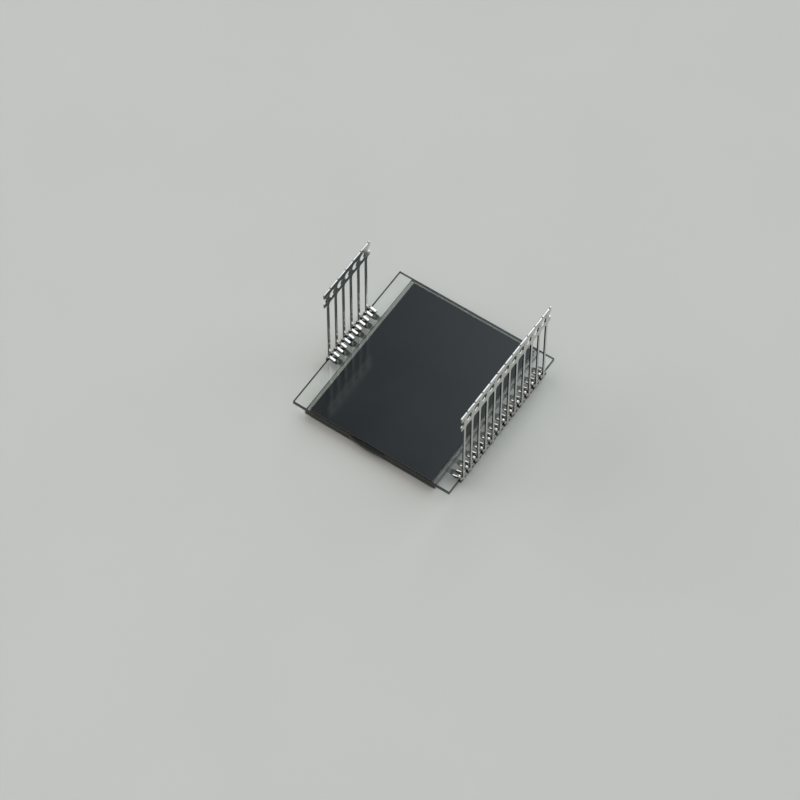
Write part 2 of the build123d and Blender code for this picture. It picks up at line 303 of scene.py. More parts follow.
@dataclass(frozen=True)
class FloatGlass(Finish):
    """Soda-lime float glass, scribed and snapped: the faces are fire polished, the edges are broken.

    The faces are clear and only mirror. The broken edges are painted dark and mostly opaque: painted shade
    for the dark that refraction and reflection give them, lightened in painted glints along the hackle. A
    thin band of painted shade rings each plate's faces along the arris, which is rougher there.
    """

    name: str = "soda-lime float glass, scribed and snapped"
    centre: Pair = (0.0, 0.0)
    half: Pair = (14.3, 14.45)
    arris: float = 0.085
    # painted shade: a thin dark line along the arris, on the faces next to each edge
    chipped: str = "#0c0f0e"
    chipped_clearness: float = 0.1
    face: str = "#f9faf9"
    # painted shade: the edges are dark and mostly opaque in place of the dark that refraction and
    # reflection give them
    edge: str = "#151918"
    edge_clearness: float = 0.3
    edge_roughness: float = 0.22
    hackle: Pattern = Pattern(0.35, detail=4.0, coarseness=0.65, stretch=(1, 1, 0.25), height=0.03)
    # the hackle values at which the edges lighten toward the face colour in painted glints
    glint_span: Pair = (0.66, 0.9)
    shade: str = "#f3f6f4"
    ior: float = 1.52

    def shader(self, add: Adder, place: NodeSocket) -> Node:
        """Builds clear faces, dark hackled edges of painted shade with painted glints, a thin line of
        painted shade along the arris, and lets the lamps' light through to what lies under.

        Args:
            add: adds a node to the material.
            place: the place on the piece.

        Returns:
            The last node.
        """
        is_edge = edge_mask(add)
        centre = [c * MM for c in self.centre] + [0.0]
        inside = [(h - self.arris) * MM for h in self.half] + [0.0]
        from_centre = add("VectorMath", {"operation": "SUBTRACT", 0: place, 1: centre})
        reach = add("VectorMath", {"operation": "ABSOLUTE", 0: from_centre})
        over = add("VectorMath", {"operation": "SUBTRACT", 0: reach, 1: inside})
        sides = add("SeparateXYZ", {"Vector": over}).outputs
        most = add("Math", {"operation": "MAXIMUM", 0: sides["X"], 1: sides["Y"]})
        near = add("Math", {"operation": "GREATER_THAN", 0: most, 1: 0.0})
        is_arris = add("Math", {"operation": "SUBTRACT", "use_clamp": True, 0: near, 1: is_edge})
        hackle = self.hackle.draw(add, place)
        low, high = self.glint_span
        painted_glint = add("MapRange", {"From Min": low, "From Max": high, "Value": hackle})
        # painted shade on the edges and along the arris, lightened by painted glints on the hackle
        face, edge, chipped = (linear(colour) for colour in (self.face, self.edge, self.chipped))
        edge_tone = add("Mix", {"data_type": "RGBA", FACTOR: painted_glint, COLOUR_A: edge, COLOUR_B: face})
        colour = add("Mix", {"data_type": "RGBA", FACTOR: is_edge, COLOUR_A: face, COLOUR_B: edge_tone})
        shade_ringed = add("Mix", {"data_type": "RGBA", FACTOR: is_arris, COLOUR_A: colour, COLOUR_B: chipped})
        broken = add("Math", {"operation": "MAXIMUM", 0: is_edge, 1: is_arris})
        rough = add("Math", {"operation": "MULTIPLY", 0: broken, 1: self.edge_roughness})
        passed_edge = add("MapRange", {"To Min": 1.0, "To Max": self.edge_clearness, "Value": is_edge})
        clearness = {FACTOR: is_arris, FLOAT_A: passed_edge, FLOAT_B: self.chipped_clearness}
        passed = add("Mix", {"data_type": "FLOAT", **clearness})
        marks = add("Bump", {"Strength": is_edge, "Distance": self.hackle.height * MM, "Height": hackle})
        looks = {"Base Color": shade_ringed, "Roughness": rough, "Transmission Weight": passed, "Normal": marks}
        glass = add("BsdfPrincipled", {"IOR": self.ior, **looks})
        clear = add("BsdfTransparent", {"Color": linear(self.shade)})
        return add("MixShader", {0: add("LightPath").outputs["Is Shadow Ray"], 1: glass, 2: clear})


@dataclass(frozen=True)
class ConductiveFilm(Finish):
    """Indium tin oxide, sputtered and etched: a film whose grey tint darkens what lies under it, with a
    faint grey sheen and a mirror edge.
    """

    name: str = "indium tin oxide, sputtered and etched"
    tint: str = "#dddfdc"
    sheen: str = "#a2a49f"
    grain: Pattern = Pattern(0.4)  # the crystals are far too fine to show; this is slow unevenness
    reflect: float = 0.03
    uneven: float = 0.4
    roughness: float = 0.12
    ior: float = 1.9

    def shader(self, add: Adder, place: NodeSocket) -> Node:
        """Builds a film that darkens what lies under it by its tint, with a little uneven sheen.

        Args:
            add: adds a node to the material.
            place: the place on the piece.

        Returns:
            The last node.
        """
        low, high = self.reflect * (1 - self.uneven), self.reflect * (1 + self.uneven)
        amount = add("MapRange", {"To Min": low, "To Max": high, "Value": self.grain.draw(add, place)})
        looks = {"Roughness": self.roughness, "IOR": self.ior}
        film = add("BsdfPrincipled", {"Base Color": linear(self.sheen), **looks})
        clear = add("BsdfTransparent", {"Color": linear(self.tint)})
        return add("MixShader", {0: amount, 1: clear, 2: film})


@dataclass(frozen=True)
class TonedFinish(Finish):
    """A finish of two tones that one pattern mixes, with bumps from this and from further patterns.

    A span is the pattern's values at which the first tone or roughness ends and the second begins.
    """

    tones: tuple[str, str]
    pattern: Pattern
    further: tuple[Pattern, ...] = ()
    tone_span: Pair = (0.0, 1.0)
    rough_span: Pair = (0.0, 1.0)
    roughness: float | Pair = 0.5
    metallic: float = 0.0
    clearness: float = 0.0
    ior: float = 1.5

    def shader(self, add: Adder, place: NodeSocket) -> Node:
        """Builds the mixed tones, the roughness and the bumps.

        Args:
            add: adds a node to the material.
            place: the place on the piece.

        Returns:
            The last node.
        """
        pattern = self.pattern.draw(add, place)
        first, second = self.tone_span
        share = add("MapRange", {"From Min": first, "From Max": second, "Value": pattern})
        low, high = (linear(tone) for tone in self.tones)
        tone = add("Mix", {"data_type": "RGBA", FACTOR: share, COLOUR_A: low, COLOUR_B: high})
        looks = {"Base Color": tone, "Roughness": self.roughness, "Metallic": self.metallic}
        looks |= {"Transmission Weight": self.clearness, "IOR": self.ior}
        if isinstance(self.roughness, tuple):
            (first, second), (low, high) = self.rough_span, self.roughness
            spans = {"From Min": first, "From Max": second, "To Min": low, "To Max": high}
            looks["Roughness"] = add("MapRange", {**spans, "Value": pattern})
        shapes = [(self.pattern, pattern)] + [(more, more.draw(add, place)) for more in self.further]
        normal: dict[str, Node] = {}
        for relief, shape in shapes:
            if relief.height:
                depth = {"Strength": relief.strength, "Distance": relief.height * MM}
                normal = {"Normal": add("Bump", {**depth, "Height": shape, **normal})}
        return add("BsdfPrincipled", {**looks, **normal})


@dataclass(frozen=True)
class CellFluid(TonedFinish):
    """Liquid crystal between its alignment layers, unpowered: a dark, smooth, oily layer.

    Its tone drifts slowly.
    """

    name: str = "liquid crystal, filled by vacuum"
    tones: tuple[str, str] = ("#15181a", "#202425")
    pattern: Pattern = Pattern(3.0, detail=3.0)
    roughness: float | Pair = 0.08
    ior: float = 1.55


@dataclass(frozen=True)
class CuredResin(TonedFinish):
    """Cured resin with the wet gloss that it set with, cloudy inside and specked by its filler.

    Its tones are the resin's and the filler's, and its skin ripples softly.
    """

    pattern: Pattern = Pattern(0.12, grains=True)
    further: tuple[Pattern, ...] = (Pattern(0.9, strength=0.35, height=0.08),)
    tone_span: Pair = (0.3, 0.12)
    roughness: float | Pair = 0.2


@dataclass(frozen=True)
class TinnedFace(TonedFinish):
    """Tin-plated phosphor bronze strip, cold rolled: the two broad faces.

    The plating mirrors the table and the cell, drawn out a little along the rolling direction, with
    slightly duller clouds and the small dents of handling. The real roll marks are a few hundredths
    of a millimetre apart, and are drawn coarser so that they show.
    """

    name: str = "tin-plated phosphor bronze, cold rolled"
    tones: tuple[str, str] = ("#d3d2ce", "#b9b8b3")
    pattern: Pattern = Pattern(1.3, detail=4.0, coarseness=0.6)
    further: tuple[Pattern, ...] = (
        Pattern(0.16, stretch=(1, 0.06, 1), strength=0.2, height=0.004),
        Pattern(1.1, detail=1.0, strength=0.4, height=0.04),
    )
    rough_span: Pair = (0.3, 0.7)
    roughness: float | Pair = (0.07, 0.16)
    metallic: float = 1.0


@dataclass(frozen=True)
class ShearedEdge(TonedFinish):
    """The edges that the die sheared after plating: a burnished band and a torn one of tarnished bronze.

    They are streaked the way that the die cut, and duller and darker than the faces: their dark tones are
    partly the bronze's own tarnish and partly painted shade for the dark things that the flanks mirror, so
    each pin reads as a pale face with a dark flank.
    """

    name: str = "sheared phosphor bronze, tarnished_and_shaded"
    # dark tones: the bronze's own tarnish, darkened further with painted shade
    tones: tuple[str, str] = ("#5a5854", "#2a2826")
    pattern: Pattern = Pattern(
        0.09, detail=3.0, coarseness=0.6, stretch=(0.3, 1, 1), strength=0.3, height=0.006
    )
    tone_span: Pair = (0.4, 0.62)
    rough_span: Pair = (0.4, 0.62)
    roughness: float | Pair = (0.14, 0.34)
    metallic: float = 1.0


@dataclass(frozen=True)
class PrintedPaste(TonedFinish):
    """Conductive paste, dispensed or printed and baked: a grainy, matt binder with the odd bright flake."""

    name: str = "carbon paste, dispensed and baked"
    tones: tuple[str, str] = ("#0b0b0c", "#262627")
    pattern: Pattern = Pattern(0.09, grains=True, strength=0.6, height=0.02)
    tone_span: Pair = (0.35, 0.1)
    roughness: float | Pair = 0.55


@dataclass(frozen=True)
class TableTop(TonedFinish):
    """The pale matt table that the display lies on: a painted board with a very faint mottle."""

    name: str = "painted table board, matt"
    tones: tuple[str, str] = ("#d4d2cc", "#cfcdc7")
    pattern: Pattern = Pattern(30.0, detail=3.0)
    roughness: float | Pair = 0.75
    ior: float = 1.4


class CellNode(Enum):
    """The CAD nodes of the glass cell that keep their own shape."""

    FRONT_POLARISER = "front_polariser"
    COMMON_GLASS = "common_glass"
    SEGMENT_GLASS = "segment_glass"
    REAR_POLARISER = "rear_polariser"
    SEGMENT_ELECTRODES = "segment_electrodes"
    COMMON_ELECTRODES = "common_electrodes"
    CONTACT_PADS = "contact_pads"
    LIQUID_CRYSTAL = "liquid_crystal"
    TRANSFER_DOTS = "transfer_dots"


class PinRow(Enum):
    """The two pin rows, by the side of the cell that they clip to."""

    SHORT = "left"
    LONG = "right"


class Coat(IntEnum):
    """The finishes of a pin row, by their number on the piece."""

    ROLLED = 0
    SHEARED = 1
    # bright tin on the edges that look up: a painted highlight of the light from above
    TOP_LIT = 2


def arc(centre: Pair, radius: float, start: float, end: float, steps: int) -> list[Pair]:
    """Points along an arc.

    Args:
        centre: its centre.
        radius: its radius.
        start: the angle that it starts at, in degrees.
        end: the angle that it ends at, in degrees.
        steps: how many pieces it is cut into.

    Returns:
        The points, with both ends.
    """
    angles = [math.radians(start + (end - start) * i / steps) for i in range(steps + 1)]
    return [(centre[0] + radius * math.cos(a), centre[1] + radius * math.sin(a)) for a in angles]


def across(path: list[Pair], i: int) -> Pair:
    """The way square to a path at one of its points.

    Args:
        path: the points of the path.
        i: the number of the point.

    Returns:
        The way to the left of the path, one long.
    """
    (x0, y0), (x1, y1) = path[max(i - 1, 0)], path[min(i + 1, len(path) - 1)]
    run = math.hypot(x1 - x0, y1 - y0)
    return (-(y1 - y0) / run, (x1 - x0) / run)


@dataclass
class Shell:
    """Corners and faces of a piece in the making, in millimetres, with a finish number for each face."""

    corners: list[Triple] = field(default_factory=list)
    faces: list[tuple[int, ...]] = field(default_factory=list)
    coats: list[int] = field(default_factory=list)

    def add(self, corners: list[Triple], faces: list[tuple[int, ...]], coats: list[int]) -> None:
        """Adds a closed body to the shell.

        Args:
            corners: the body's corners.
            faces: its faces, by number of corner.
            coats: the number of each face's finish.
        """
        first = len(self.corners)
        self.corners += corners
        self.faces += [tuple(first + i for i in face) for face in faces]
        self.coats += coats

    def loft(self, rings: list[list[Triple]], coats: list[int] | None = None, end_coat: int = 0) -> None:
        """Adds a closed body that runs through rings of as many corners each.

        Args:
            rings: the rings, in order, each going the same way round.
            coats: the finish number of each face round a ring; 0 for all where it isn't given.
            end_coat: the finish number of the two ends.
        """
        count = len(rings[0])
        corners = [corner for ring in rings for corner in ring]
        faces: list[tuple[int, ...]] = [tuple(range(count))[::-1]]
        for start in range(0, (len(rings) - 1) * count, count):
            for i in range(count):
                j = (i + 1) % count
                faces.append((start + i, start + j, start + j + count, start + i + count))
        faces.append(tuple(range(len(corners) - count, len(corners))))
        numbers = (coats or [0] * count) * (len(rings) - 1)
        self.add(corners, faces, [end_coat, *numbers, end_coat])

    def piece(self, name: str, finishes: list[Finish], flip: bool = False) -> Object:
        """Turns the shell to a piece of the scene, smooth over its bends and crisp at its corners.

        Faces square to X, such as the broad faces of the strips, stay flat.

        Args:
            name: the piece's name.
            finishes: the finishes, in the order of the faces' numbers.
            flip: True for the mirror image across the middle of the cell.

        Returns:
            The piece, in the scene.
        """
        turn = -1 if flip else 1
        mesh = bpy.data.meshes.new(name)
        places = [(turn * x * MM, y * MM, z * MM) for x, y, z in self.corners]
        mesh.from_pydata(places, [], [face[::turn] for face in self.faces])
        for finish in finishes:
            mesh.materials.append(finish.material())
        for polygon, coat in zip(mesh.polygons, self.coats):
            polygon.material_index = coat
        mesh.shade_smooth()
        mesh.set_sharp_from_angle(angle=math.radians(SHARP_BEND))
        for polygon in mesh.polygons:
            polygon.use_smooth = abs(polygon.normal.x) < SQUARE
        rough = add_object(name + "_rough", mesh)
        weigh = rough.modifiers.new("weigh", "WEIGHTED_NORMAL")
        weigh.keep_sharp = True
        graph = bpy.context.evaluated_depsgraph_get()
        final = bpy.data.meshes.new_from_object(rough.evaluated_get(graph), depsgraph=graph)
        final.name = name
        bpy.data.objects.remove(rough)
        return add_object(name, final)


@dataclass
class GlassCell:
    """The cell: two glass plates with their polarisers, films and fluid."""

    narrow_centre: Pair = (-0.2, 0.0)
    narrow_half: Pair = (11.85, 14.45)
    rear_foot: float = 1.75
    rear_thickness: float = 0.25
    front_foot: float = 0.0
    front_thickness: float = 0.3

    def finishes(self) -> dict[CellNode, Finish]:
        """Pairs each node of the cell with its finish.

        Returns:
            The finish by node.
        """
        film = ConductiveFilm()
        return {
            CellNode.REAR_POLARISER: PolariserFilm(foot=self.rear_foot, thickness=self.rear_thickness),
            CellNode.FRONT_POLARISER: PolariserFilm(
                name="polariser film, viewing side", foot=self.front_foot, thickness=self.front_thickness
            ),
            CellNode.COMMON_GLASS: FloatGlass(
                name="soda-lime float glass, narrow plate", centre=self.narrow_centre, half=self.narrow_half
            ),
            CellNode.SEGMENT_GLASS: FloatGlass(),
            CellNode.SEGMENT_ELECTRODES: film,
            CellNode.COMMON_ELECTRODES: film,
            CellNode.CONTACT_PADS: film,
            CellNode.LIQUID_CRYSTAL: CellFluid(),
            CellNode.TRANSFER_DOTS: PrintedPaste(
                "silver paste, printed and baked", ("#8b8b88", "#c9c8c2"), metallic=0.8, roughness=0.42
            ),
        }

    def build(self) -> None:
        """Dresses every node of the cell."""
        for node, finish in self.finishes().items():
            finish.dress(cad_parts[node.value])
            LOG.info("%s: %s", node.value, finish.name)


@dataclass
class SealFrame:
    """The printed line of sealing epoxy between the plates, with its two cheeks at the filling port.

    The line was squeezed flat when the plates were pressed together, so its edges wander a little.
    Each edge wanders by the product of two waves, given as their rates and starts.
    """

    sides: Pair = (-11.93, 11.53)
    ends: Pair = (-14.28, 14.3)
    edge: float = -14.45
    port: Pair = (-2.8, 1.6)
    width: float = 1.08
    corner: float = 0.5
    corner_steps: int = 6
    gap: Pair = (1.004, 1.046)
    bulge: float = 0.012
    step: float = 0.4
    wander: float = 0.02
    inner_waves: tuple[Pair, Pair] = ((0.13, 0.0), (0.05, 1.0))
    outer_waves: tuple[Pair, Pair] = ((0.11, 2.0), (0.06, 0.0))

    def route(self) -> list[Pair]:
        """The middle of the line, from one cheek of the port round the cell to the other.

        Returns:
            The points, a step apart, with rounded corners.
        """
        half = self.width / 2
        left, right = self.sides[0] + half, self.sides[1] - half
        front, back = self.ends[0] + half, self.ends[1] - half
        first, last = self.port[1] + half, self.port[0] - half
        turns = [(first, self.edge), (first, front), (right, front), (right, back)]
        turns += [(left, back), (left, front), (last, front), (last, self.edge)]
        points = [turns[0]]
        for before, here, after in zip(turns, turns[1:], turns[2:]):
            come = (Vector(here) - Vector(before)).normalized()
            leave = (Vector(after) - Vector(here)).normalized()
            start, end = Vector(here) - come * self.corner, Vector(here) + leave * self.corner
            for i in range(self.corner_steps + 1):
                t = i / self.corner_steps
                spot = start * (1 - t) ** 2 + Vector(here) * 2 * t * (1 - t) + end * t**2
                points.append((spot.x, spot.y))
        points.append(turns[-1])
        spaced = [points[0]]
        for (x0, y0), (x1, y1) in zip(points, points[1:]):
            cuts = max(1, round(math.hypot(x1 - x0, y1 - y0) / self.step))
            spaced += [(x0 + (x1 - x0) * i / cuts, y0 + (y1 - y0) * i / cuts) for i in range(1, cuts + 1)]
        return spaced

    def reach(self, waves: tuple[Pair, Pair], i: int) -> float:
        """How far one edge lies from the middle of the line at its point i, by the edge's waves."""
        swing = math.prod(math.sin(rate * i + start) for rate, start in waves)
        return self.width / 2 - self.wander * (1 + swing)

    def build(self) -> None:
        """Builds the line and puts it in place of the CAD's seal."""
        resin = CuredResin("sealing epoxy, screen printed and cured", ("#7c7c75", "#93928a"), clearness=0.1)
        route = self.route()
        low, high = self.gap
        middle = (low + high) / 2
        rings = []
        for i, (x, y) in enumerate(route):
            way = across(route, i)
            inner, outer = self.reach(self.inner_waves, i), self.reach(self.outer_waves, i)
            profile = ((inner, low), (inner + self.bulge, middle), (inner, high))
            profile += ((-outer, high), (-outer - self.bulge, middle), (-outer, low))
            rings.append([(x + d * way[0], y + d * way[1], z) for d, z in profile])
        shell = Shell()
        shell.loft(rings)
        seal = shell.piece("seal_frame", [resin])
        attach(seal, "root")
        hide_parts("perimeter_seal")
        LOG.info("seal_frame: %s", resin.name)


@dataclass
class PortPlug:
    """The bead of resin that closes the filling port, standing out of the front edge of the glass.

    Waves are given as height, rate and start; plan and section hold the powers that round them.
    """

    centre: float = -0.6
    width: float = 6.6
    reach: float = 0.42
    thinnest: float = 0.004
    edge: float = -14.45
    low: float = 0.425
    high: float = 1.675
    end_height: float = 0.82
    flow_waves: tuple[Triple, Triple] = ((0.05, 5.1, 0.6), (0.03, 13.0, 0.0))
    height_wave: Pair = (0.02, 9.0)
    plan: Pair = (2.2, 0.75)
    section: Pair = (0.75, 0.8)
    tongue_width: float = 4.4
    tongue_depth: float = 0.35
    gap: Pair = (1.0, 1.05)
    stations: int = 48
    round_steps: int = 10

    def ring(self, share: float) -> list[Triple]:
        """One upright section of the bead.

        Args:
            share: how far along the bead, from -1 to 1.

        Returns:
            The section's corners, from the glass out over the bead and back.
        """
        x = self.centre + share * self.width / 2
        flow = 1 + sum(high * math.sin(rate * share + start) for high, rate, start in self.flow_waves)
        fall, root = self.plan
        out = max(self.reach * min(flow, 1.0) * (1 - abs(share) ** fall) ** root, self.thinnest)
        swell = self.end_height + (1 - self.end_height) * (1 - share * share)
        dip, rate = self.height_wave
        tall = (self.high - self.low) / 2 * swell * (1 - dip * math.sin(rate * share))
        middle = (self.low + self.high) / 2
        out_power, up_power = self.section
        corners = []
        for step in range(self.round_steps + 1):
            angle = math.pi * step / self.round_steps
            rise = math.copysign(abs(math.cos(angle)) ** up_power, math.cos(angle))
            corners.append((x, self.edge - out * math.sin(angle) ** out_power, middle + tall * rise))
        return corners

    def build(self) -> None:
        """Builds the bead and its tongue in the port, and puts them in place of the CAD's plug."""
        resin = CuredResin(
            "port resin, dabbed and cured by lamp", ("#22231f", "#2e2f29"), clearness=0.35, roughness=0.1
        )
        shell = Shell()
        shell.loft([self.ring(-1 + 2 * i / self.stations) for i in range(self.stations + 1)])
        low, high = self.gap
        back = self.edge + self.tongue_depth
        section = ((self.edge, low), (back, low), (back, high), (self.edge, high))
        ends = [self.centre + side * self.tongue_width / 2 for side in (-1, 1)]
        shell.loft([[(x, y, z) for y, z in section] for x in ends])
        plug = shell.piece("port_plug", [resin])
        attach(plug, "root")
        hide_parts("end_seal")
        LOG.info("port_plug: %s", resin.name)


@dataclass(frozen=True)
class Finger:
    """One finger of a clip, bent out of the sheet, run straight at a slope and curled at its tip.

    Heights are measured up from the ledge. The bend is drawn as one that goes down and under the
    glass; hand -1 turns it upside down, to one that goes up and over the glass.
    """

    width: float
    start: float
    bend_base: float
    bend_radius: float
    slope: float
    tip_turn: float
    tip_steps: int
    tip_radius: float = 0.3
    bend_steps: int = 12
    hand: int = 1

    def path(self, sheet_middle: float, ledge: float, rest: float) -> list[Pair]:
        """The middle line of the finger, from the sheet round its bend to its tip.

        Args:
            sheet_middle: where the sheet stands across the row.
            ledge: the top of the wide glass.
            rest: the height of the middle line where the finger is closest to the glass.

        Returns:
            The points, as across the row and up.
        """
        slope, radius = math.radians(self.slope), self.tip_radius
        centre = (sheet_middle + self.bend_radius, self.hand * (ledge + self.bend_base))
        bend = arc(centre, self.bend_radius, 180, 270 + self.slope, self.bend_steps)
        x, z = bend[-1]
        climb = self.hand * rest - radius * (1 - math.cos(slope)) - z
        run = climb / math.tan(slope)
        centre = (x + run + radius * math.sin(slope), z + climb - radius * math.cos(slope))
        tip = arc(centre, radius, 90 + self.slope, 90 + self.slope - self.tip_turn, self.tip_steps)
        line = [(sheet_middle, self.hand * (ledge + self.start)), *bend, (x + run / 2, z + climb / 2), *tip]
        return [(along, self.hand * up) for along, up in line]


@dataclass
class LeadFrame:
    """One stamped row of pins: carrier strip, stems and three-finger clips, in one sheet of metal.

    It is drawn at the left edge of the wide glass; the long row is the mirror image of that.
    Heights of the clip's body are measured up from the ledge, which is the top of the wide glass.
    """

    row: PinRow
    pin_count: int
    row_centre: float
    pitch: float = 2.0
    sheet: float = 0.25
    sheet_middle: float = -14.5
    ledge: float = 1.75
    top: float = 19.45
    strip_width: float = 3.4
    hole_diameter: float = 1.4
    hole_depth: float = 1.78
    hole_steps: int = 32
    pilot_diameter: float = 0.32
    pilot_shift: Pair = (0.74, 0.64)
    pilot_steps: int = 12
    notch_width: float = 0.2
    notch_depth: float = 0.14
    notch_shift: float = 0.6
    stem_width: float = 0.42
    root_width: float = 0.86
    root_height: float = 0.75
    root_power: float = 1.3
    root_steps: int = 8
    body_width: float = 1.5
    body_low: float = -0.86
    body_high: float = -0.3
    body_corner: float = 0.12
    body_steps: int = 5
    stem_fillet: float = 0.05
    slot_fillet: float = 0.02
    finger_fillet: Pair = (0.05, 0.04)
    rollover: float = 0.03
    weld: float = 0.002
    side_spacing: float = 1.0
    side: Finger = Finger(
        width=0.5,
        start=-0.6,
        bend_base=-0.05,
        bend_radius=0.45,
        slope=17.0,
        tip_turn=35.0,
        tip_steps=5,
        hand=-1,
    )
    middle: Finger = Finger(
        width=0.38, start=-0.7, bend_base=-0.95, bend_radius=0.33, slope=26.0, tip_turn=40.0, tip_steps=6
    )
    pad_thickness: float = 0.01
    glass: float = 0.7
    clearance: float = 0.01
    tip_bevel: float = 0.09
    broad_share: float = 0.3  # how much of a broad face's normal points out of the sheet, at least
    notch_share: float = 0.2  # how much of a notch face's normal points along the row, at least
    # an edge that looks up gets the bright coat of a painted highlight
    lip_share: float = 0.8  # how much of the normal of an edge that looks up points up, at least

    def pins(self) -> list[float]:
        """The Y of each pin."""
        first = self.row_centre - (self.pin_count - 1) * self.pitch / 2
        return [first + i * self.pitch for i in range(self.pin_count)]

    def clip_outline(self, y: float) -> list[Pair]:
        """The outline of one root, stem and clip body, from the strip down and back up.

        Args:
            y: the pin's place along the row.

        Returns:
            The points in the plane of the sheet, as along and up.
        """
        strip_low = self.top - self.strip_width
        low, high = self.ledge + self.body_low, self.ledge + self.body_high
        arch, foot = self.ledge + self.side.bend_base, self.ledge + self.middle.bend_base
        stem, corner, half = self.stem_width / 2, self.body_corner, self.body_width / 2
        inner = self.side_spacing / 2 - self.side.width / 2
        side = []
        for i in range(self.root_steps + 1):
            share = i / self.root_steps
            swell = (self.root_width / 2 - stem) * (1 - math.sin(share * math.pi / 2)) ** self.root_power
            side.append((stem + swell, strip_low - share * self.root_height))
        side += [(stem, high + self.stem_fillet), ((stem + inner) / 2, high)]
        side += [(inner, high + self.slot_fillet), (inner, arch), (half, arch)]
        side += arc((half - corner, low + corner), corner, 0, -90, self.body_steps)
        middle, (out, down) = self.middle.width / 2, self.finger_fillet
        side += [(middle + out, low), (middle, low - down), (middle, foot)]
        return [(y - along, up) for along, up in side] + [(y + along, up) for along, up in reversed(side)]

    def outline(self) -> list[Pair]:
        """The outline of the whole sheet as it is stamped, before the fingers are bent.

        Returns:
            The points in the plane of the sheet, as along and up.
        """
        pins = self.pins()
        start, end = pins[0] - self.pitch / 2, pins[-1] + self.pitch / 2
        low, hole, radius = self.top - self.strip_width, self.top - self.hole_depth, self.hole_diameter / 2
        points = [(start, low)]
        for y in pins:
            points += self.clip_outline(y)
        points.append((end, low))
        points += arc((end, hole), radius, 270, 90, self.hole_steps // 2)
        points.append((end, self.top))
        half, deep = self.notch_width / 2, self.top - self.notch_depth
        for y in reversed(pins):
            notch = y + self.notch_shift
            points += [(notch + half, self.top), (notch, deep), (notch - half, self.top)]
        points.append((start, self.top))
        points += arc((start, hole), radius, 90, -90, self.hole_steps // 2)
        return points

    def holes(self) -> list[list[Pair]]:
        """The round holes of the strip: the large ones between the pins, and a small one beside each.

        Returns:
            The outline of each hole.
        """
        height, (along, up) = self.top - self.hole_depth, self.pilot_shift
        between = [y - self.pitch / 2 for y in self.pins()]
        large, small = self.hole_diameter / 2, self.pilot_diameter / 2
        outlines = [arc((y, height), large, 0, 360, self.hole_steps) for y in between[1:]]
        outlines += [arc((y + along, height + up), small, 0, 360, self.pilot_steps) for y in between]
        return [outline[:-1] for outline in outlines]

    def coat(self, face: bmesh.types.BMFace) -> Coat:
        """Picks the finish of one face of the flat sheet.

        Args:
            face: the face, with the drawing's Y up.

        Returns:
            ROLLED for the broad faces; for edges that look up, the bright coat that carries a painted
            highlight; SHEARED for all other edges, the notches and the small holes.
        """
        if abs(face.normal.z) > self.broad_share:
            return Coat.ROLLED
        centre = face.calc_center_median()
        if centre.y > self.top - self.notch_depth and abs(face.normal.x) > self.notch_share:
            return Coat.SHEARED
        along, up = self.pilot_shift
        height = self.top - self.hole_depth + up
        small = any(
            math.hypot(centre.x - y + self.pitch / 2 - along, centre.y - height) < self.pilot_diameter
            for y in self.pins()
        )
        # edges that look up get the bright tin of a painted highlight; the small holes keep the sheared
        # coat
        return Coat.TOP_LIT if face.normal.y > self.lip_share and not small else Coat.SHEARED

    def stamp(self, shell: Shell) -> None:
        """Adds the flat sheet to the shell, with the soft rollover that the die leaves on its edges.

        The edges that look up, such as the strip's long upper edge and the lower lips of the large holes,
        get a brighter tin coat: a painted highlight of the light from above.

        Args:
            shell: the shell that gets it.
        """
        drawing = bpy.data.curves.new("stamping", "CURVE")
        drawing.dimensions = "2D"
        drawing.fill_mode = "BOTH"
        drawing.extrude = self.sheet / 2 - self.rollover
        drawing.bevel_depth = self.rollover
        drawing.bevel_resolution = 1
        drawing.offset = -self.rollover
        for outline in [self.outline()] + self.holes():
            line = drawing.splines.new("POLY")
            line.points.add(len(outline) - 1)
            for point, (along, up) in zip(line.points, outline):
                point.co = (along, up, 0, 1)
            line.use_cyclic_u = True
        sheet = add_object("stamping", drawing)
        bpy.context.view_layer.update()
        mesh = bpy.data.meshes.new_from_object(sheet)
        bpy.data.objects.remove(sheet)
        flat = bmesh.new()
        flat.from_mesh(mesh)
        bmesh.ops.remove_doubles(flat, verts=flat.verts, dist=self.weld)
        flat.verts.ensure_lookup_table()
        corners = [(self.sheet_middle + v.co.z, v.co.x, v.co.y) for v in flat.verts]
        faces = [tuple(v.index for v in face.verts) for face in flat.faces]
        coats = [self.coat(face) for face in flat.faces]
        flat.free()
        shell.add(corners, faces, coats)

    def section(self, width: float, thickness: float) -> list[Pair]:
        """The section of a finger, a flat bar with rolled-over corners.

        Args:
            width: its width.
            thickness: its thickness.

        Returns:
            The corners, as along the row and through the sheet, three at each rolled-over corner.
        """
        points: list[Pair] = []
        for side, up, start in ((1, 1, 0), (-1, 1, 90), (-1, -1, 180), (1, -1, 270)):
            centre = (side * (width / 2 - self.rollover), up * (thickness / 2 - self.rollover))
            points += arc(centre, self.rollover, start, start + 90, 2)
        return points

